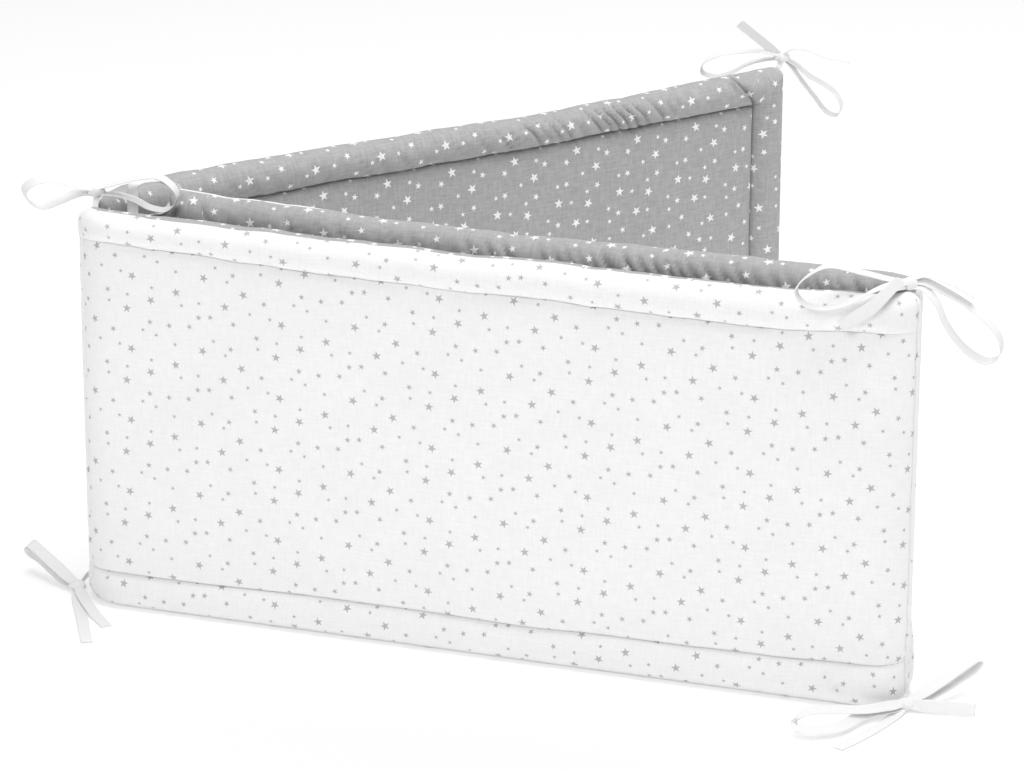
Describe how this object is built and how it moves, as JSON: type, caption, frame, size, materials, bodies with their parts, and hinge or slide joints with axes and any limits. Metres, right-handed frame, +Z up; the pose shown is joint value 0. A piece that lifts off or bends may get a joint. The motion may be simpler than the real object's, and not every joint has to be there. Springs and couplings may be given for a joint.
{
  "type": "crib bumper",
  "caption": "Long quilted pad for the inside of a crib, folded in panels and standing on its edge, with sewn channels along its edges, reversible star print and tape ties tied in bows.",
  "frame": {"origin": "on the surface that the bumper stands on, under the middle of its box", "axes": "+X along the front panel, towards its right end as seen from in front; +Y from the front panel to the rear; +Z up"},
  "size_m": [0.7048, 0.6656, 0.3238],
  "materials": {
    "printed_cotton": "matte plain-weave cotton, white with grey stars outside and grey with white stars inside",
    "white_tape": "matte white cotton tape"
  },
  "bodies": {
    "root": {"pad": "printed_cotton", "tie_left_top": "white_tape", "tie_right_top": "white_tape", "tie_rear_top": "white_tape", "tie_right_bottom": "white_tape", "tie_left_bottom": "white_tape", "tie_inner_top": "white_tape", "tie_rear_bottom": "white_tape", "tie_inner_bottom": "white_tape"}
  },
  "joints": []
}
